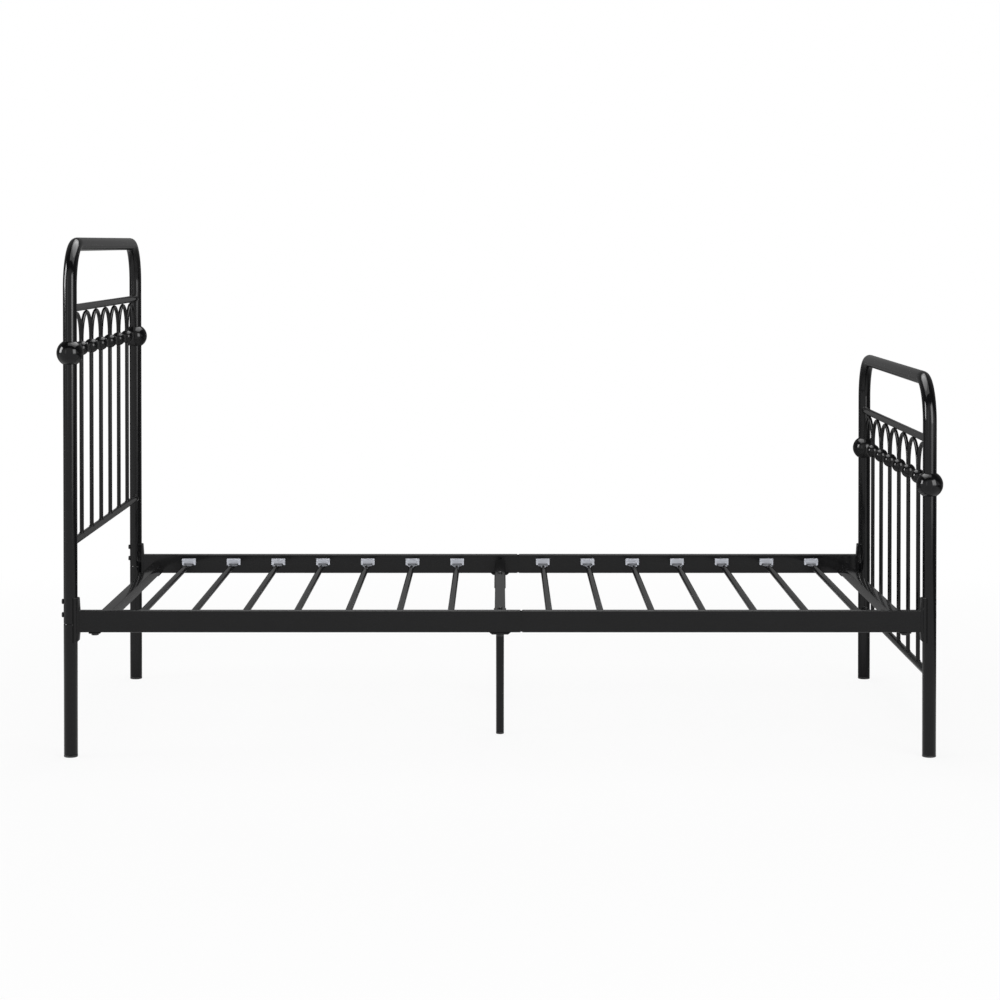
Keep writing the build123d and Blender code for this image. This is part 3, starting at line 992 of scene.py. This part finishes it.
def flush_bolt():
    """Countersunk bolt whose face follows the round post, its axis along +Z and the post's along X."""
    radius = 7 * MM
    proud = 0.12 * MM
    cone_depth, face_depth, chamfer = 6 * MM, 1 * MM, 0.2 * MM
    face = bolt_ring(radius)
    rim = bolt_ring(radius - bolt_edge)
    rows = [(bolt_shank, -cone_depth), (face, -face_depth), (face, proud - chamfer), (rim, proud),
            (key_mouth(1.1), proud), (bolt_key, proud - bolt_edge), (bolt_key, -socket_depth)]
    return loft("flush_bolt", [[(x, y, math.sqrt(post_radius ** 2 - y * y) - post_radius + lift)
                                for x, y in points] for points, lift in rows])


class BEDFRAME_OT_bolts(bpy.types.Operator):
    """Button bolts of headboard and bars, flush footboard bolts and studs in the centre legs"""

    bl_idname = "bed_frame.bolts"
    bl_label = "Bolts"

    def execute(self, context):
        small, large = sizes().bolt_head, sizes().bolt_head_large
        post_shank, plate_shank, bracket_shank, bar_shank = 12 * MM, 6 * MM, 8 * MM, 24 * MM
        down, left, right = (math.pi, 0, 0), (0, -QUARTER, 0), (0, QUARTER, 0)
        low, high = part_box("headboard_bolts")
        heights = (low.z + small / 2, high.z - small / 2)
        posts = [(y, z) for y in post_lines for z in heights]
        head = [(panel_x("headboard") - post_radius, y, z) for y, z in posts]
        bolt_copies("headboard_button_bolts", "headboard_bolts",
                    (button_bolt(small, post_shank), left, head))
        foot = [(panel_x("footboard") + post_radius, y, z) for y, z in posts]
        bolt_copies("footboard_flush_bolts", "footboard_bolts", (flush_bolt(), right, foot))

        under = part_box("head_bar_tongues")[0].z
        bars = [(middle_of(f"{end}_end_bar").x, y, under) for end in ends for y in post_lines]
        bolt_copies("end_bar_button_bolts", "end_bar_bolts",
                    (button_bolt(large, plate_shank), down, bars))

        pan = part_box("channel_bracket_front")[0].z
        bar_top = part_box("centre_bar")[1].z
        bar_screw = rail_inner - sizes().bar_screw_inset
        below = [(0, y, pan) for y in post_lines]
        above = [(0, y, bar_top) for y in (-bar_screw, bar_screw)]
        bolt_copies("centre_bar_button_bolts", "centre_bar_bolts",
                    (button_bolt(large, bracket_shank), down, below),
                    (button_bolt(small, bar_shank), UPRIGHT, above))

        low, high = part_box("centre_leg_bolts")
        edge = 0.6 * MM
        stud = lathe("stud", rod_profile((high.x - low.x) / 2, low.z, high.z, edge), 24)
        legs = [(0, middle_of(f"centre_leg_{place}").y, 0) for place in sides]
        bolt_copies("centre_leg_studs", "centre_leg_bolts", (stud, UPRIGHT, legs))
        return {"FINISHED"}


# Welds
class BEDFRAME_OT_welds(bpy.types.Operator):
    """Weld beads where the tubes and rods of the panels meet"""

    bl_idname = "bed_frame.welds"
    bl_label = "Weld beads"

    def execute(self, context):
        bead = sizes().weld_bead
        # A bead's axis lies on or just outside the surfaces that it joins
        for seed, board in enumerate(boards, start=1):
            x = panel_x(board)
            paths = []
            for level in ("upper", "lower"):
                height = middle_of(f"{board}_{level}_rail").z
                for side in (-1, 1):
                    path = [(x + across, side * (post_face(across) - 0.3 * bead), height + up)
                            for across, up in ring(cross_radius + 0.2 * bead, TURNED_SIDES)]
                    paths.append(path + path[:1])
            for y in spindle_lines():
                path = [(x + across, y + along, lower_tube_top(board, across))
                        for across, along in ring(spindle_radius + 0.1 * bead, TURNED_SIDES)]
                paths.append(path + path[:1])
            piece = grow(f"{board}_weld_beads", weld_beads, path_mesh("weld_paths", *paths),
                         Radius=bead, Ripple=2.5 * MM, Step=0.8 * MM, Unevenness=0.6 * MM,
                         Seed=float(seed), Material=powder_coat())
            hand_over(piece, "black_coat")
        return {"FINISHED"}


# Stage
ROOM_LIGHT = 0.05  # brightness of the dim room in reflections


def soft_box(name, place, target, wide, tall, light, shine, shape="RECTANGLE"):
    """Soft box aimed from a place at a target, with a card before it that only glossy skins show."""
    card_gap = 0.03
    aim = (Vector(target) - Vector(place)).normalized()
    area = wide * tall * (1.0 if shape == "RECTANGLE" else math.pi / 4)
    for part, radiance, ahead in (("lamp", light, 0.0), ("card", shine, card_gap)):
        lamp = bpy.data.lights.new(f"{name}_{part}", "AREA")
        lamp.shape = shape
        lamp.size = wide
        lamp.size_y = tall
        lamp.energy = radiance * math.pi * area
        box = new_object(f"{name}_{part}", lamp)
        box.location = Vector(place) + ahead * aim
        box.rotation_euler = aim.to_track_quat("-Z", "Y").to_euler()
        box.visible_camera = False
        box.visible_diffuse = part == "lamp"


def rays(tree):
    """Shares of the rays from the camera and of those that a skin mirrors or lets through."""
    seen = add_node(tree, "ShaderNodeLightPath").outputs
    mirrored = maths(tree, "MAXIMUM", seen["Is Glossy Ray"], seen["Is Transmission Ray"])
    return seen["Is Camera Ray"], mirrored


def studio_floor():
    """White paper with a faint shadow of the bed, mirrored as white in front and dim elsewhere."""
    material, tree = material_named("studio_paper_white")
    if tree.nodes:
        return material
    behind_bed = 0.14
    back_corners = 0.3
    back_start, back_full = 0.0, 1.5
    lane_edge, lane_end = 1.3, 2.3
    pool_middle = (-0.7, -4.0, 0.0)
    pool_edge, pool_end = 4.0, 5.2
    shadow_edge, shadow_end = 1.4, 3.0
    white_at_bed = 0.88
    camera, mirrored = rays(tree)
    place = add_node(tree, "ShaderNodeTexCoord").outputs["Object"]
    spot = add_node(tree, "ShaderNodeSeparateXYZ", {"Vector": place}).outputs
    # Where it is seen, the paper's own shading and so the shadow fade out away from the bed
    away = vector_maths(tree, "LENGTH", place)
    white = map_range(tree, away, shadow_edge, shadow_end, white_at_bed, 1.0)
    share = maths(tree, "MULTIPLY", maths(tree, "MAXIMUM", camera, mirrored), white)
    # In front of its middle and to the left of it the white pool goes on
    strip = vector_maths(tree, "MAXIMUM", place, pool_middle)
    from_pool = vector_maths(tree, "DISTANCE", strip, pool_middle)
    pool = map_range(tree, from_pool, pool_edge, pool_end, 1.0, ROOM_LIGHT, "SMOOTHSTEP")
    beside = map_range(tree, spot["Y"], back_start, back_full, ROOM_LIGHT, back_corners)
    across = maths(tree, "ABSOLUTE", spot["X"])
    lane = map_range(tree, across, lane_edge, lane_end, behind_bed, beside)
    strength = mix(tree, camera, maths(tree, "MAXIMUM", pool, lane), 1.0)
    paper = add_node(tree, "ShaderNodeBsdfDiffuse", {"Color": shade(colours().floor, 1.0)})
    glow = add_node(tree, "ShaderNodeEmission", {"Strength": strength})
    surface = add_node(tree, "ShaderNodeMixShader", {
        0: share, 1: paper.outputs["BSDF"], 2: glow.outputs["Emission"]})
    add_node(tree, "ShaderNodeOutputMaterial", {"Surface": surface.outputs["Shader"]})
    return material


def studio_world():
    """White to the camera, soft light from all round, mirrored as a dim room with a bright front."""
    world = bpy.data.worlds.new("studio")
    bpy.context.scene.world = world
    world.use_nodes = True
    tree = world.node_tree
    tree.nodes.clear()
    ambient = 0.35
    back_wall = 0.175
    front_edge, front_end = -0.2, 0.1
    back_start, back_full = 0.1, 0.4
    camera, mirrored = rays(tree)
    direction = add_node(tree, "ShaderNodeSeparateXYZ", {
        "Vector": add_node(tree, "ShaderNodeTexCoord").outputs["Generated"]}).outputs
    # Grows upward and towards the back, so its low values are low down in front of the bed
    retreat = maths(tree, "ADD", direction["Y"], direction["Z"])
    front = map_range(tree, retreat, front_edge, front_end, 1.0, ROOM_LIGHT, "SMOOTHSTEP")
    back = map_range(tree, direction["Y"], back_start, back_full, ROOM_LIGHT, back_wall)
    light = mix(tree, mirrored, ambient, maths(tree, "MAXIMUM", front, back))
    sky = add_node(tree, "ShaderNodeBackground", {
        "Color": (1.0, 1.0, 1.0, 1.0), "Strength": mix(tree, camera, light, 1.0)})
    add_node(tree, "ShaderNodeOutputWorld", {"Surface": sky.outputs["Background"]})


class BEDFRAME_OT_stage(bpy.types.Operator):
    """Pale floor, soft studio light and the camera"""

    bl_idname = "bed_frame.stage"
    bl_label = "Studio"

    def execute(self, context):
        floor_radius = 14.0
        edge = [(x, y, 0) for x, y in ring(floor_radius, 96)]
        mesh = bpy.data.meshes.new("studio_floor")
        mesh.from_pydata(edge, [], [range(len(edge))])
        mesh.materials.append(studio_floor())
        new_object("studio_floor", mesh)
        studio_world()
        bed = (0, -0.4, 0.8)
        # Place, target, width, height, light on the bed and brightness in reflections
        soft_box("overhead_bank", (0, 0.68, 3.5), (0, 0.68, 0), 3.0, 4.45, 0.9, 2.1)
        soft_box("overhead_core", (0, 0.6, 3.4), (0, 0.6, 0), 2.3, 3.0, 1.6, 1.8, "ELLIPSE")
        soft_box("left_box", (-4.98, -1.2, 2.335), bed, 1.7, 2.63, 4.7, 14.5)
        soft_box("right_box", (2.95, -3.95, 2.1), bed, 2.1, 2.8, 3.0, 2.5)
        soft_box("right_spill", (3.02, -4.03, 2.0), bed, 2.7, 3.85, 0.5, 3.0)
        soft_box("front_strip", (-6.6, -10.9, 3.3), bed, 2.6, 6.4, 0.2, 0.9)
        camera = bpy.data.cameras.new("photo_camera")
        camera.lens = 88.139
        camera.sensor_width = 36.0
        camera.shift_y = -0.22226
        camera.dof.use_dof = False
        eye = new_object("photo_camera", camera)
        eye.location = (0.0, -6.0931, 1.1774)
        eye.rotation_euler = (math.radians(89.172), 0, 0)
        context.scene.camera = eye
        context.scene.view_settings.view_transform = "Standard"
        return {"FINISHED"}


# Panel and registration
operators = (
    BEDFRAME_OT_stage, BEDFRAME_OT_hoops, BEDFRAME_OT_headboard_legs, BEDFRAME_OT_cross_tubes,
    BEDFRAME_OT_spindles, BEDFRAME_OT_arches, BEDFRAME_OT_balls, BEDFRAME_OT_saddles,
    BEDFRAME_OT_side_rails, BEDFRAME_OT_cross_bars, BEDFRAME_OT_centre_legs, BEDFRAME_OT_slats,
    BEDFRAME_OT_slat_holders, BEDFRAME_OT_feet, BEDFRAME_OT_bolts, BEDFRAME_OT_welds,
)


class BEDFRAME_PT_build(bpy.types.Panel):
    """Sizes, colours and build steps of the bed frame"""

    bl_idname = "BEDFRAME_PT_build"
    bl_label = "Bed frame"
    bl_space_type = "VIEW_3D"
    bl_region_type = "UI"
    bl_category = "Bed frame"

    def draw(self, context):
        for group in (sizes(), colours()):
            box = self.layout.box()
            for name in group.__annotations__:
                box.prop(group, name)
        for operator in operators:
            self.layout.operator(operator.bl_idname)


classes = (BedFrameSizes, BedFrameColours, *operators, BEDFRAME_PT_build)


def register():
    for cls in classes:
        bpy.utils.register_class(cls)
    bpy.types.Scene.bed_frame_sizes = PointerProperty(type=BedFrameSizes)
    bpy.types.Scene.bed_frame_colours = PointerProperty(type=BedFrameColours)


def unregister():
    del bpy.types.Scene.bed_frame_colours
    del bpy.types.Scene.bed_frame_sizes
    for cls in reversed(classes):
        bpy.utils.unregister_class(cls)


def main():
    register()
    for operator in operators:
        step = operator.bl_idname.split(".")[1]
        getattr(bpy.ops.bed_frame, step)()


if __name__ == "__main__":
    main()
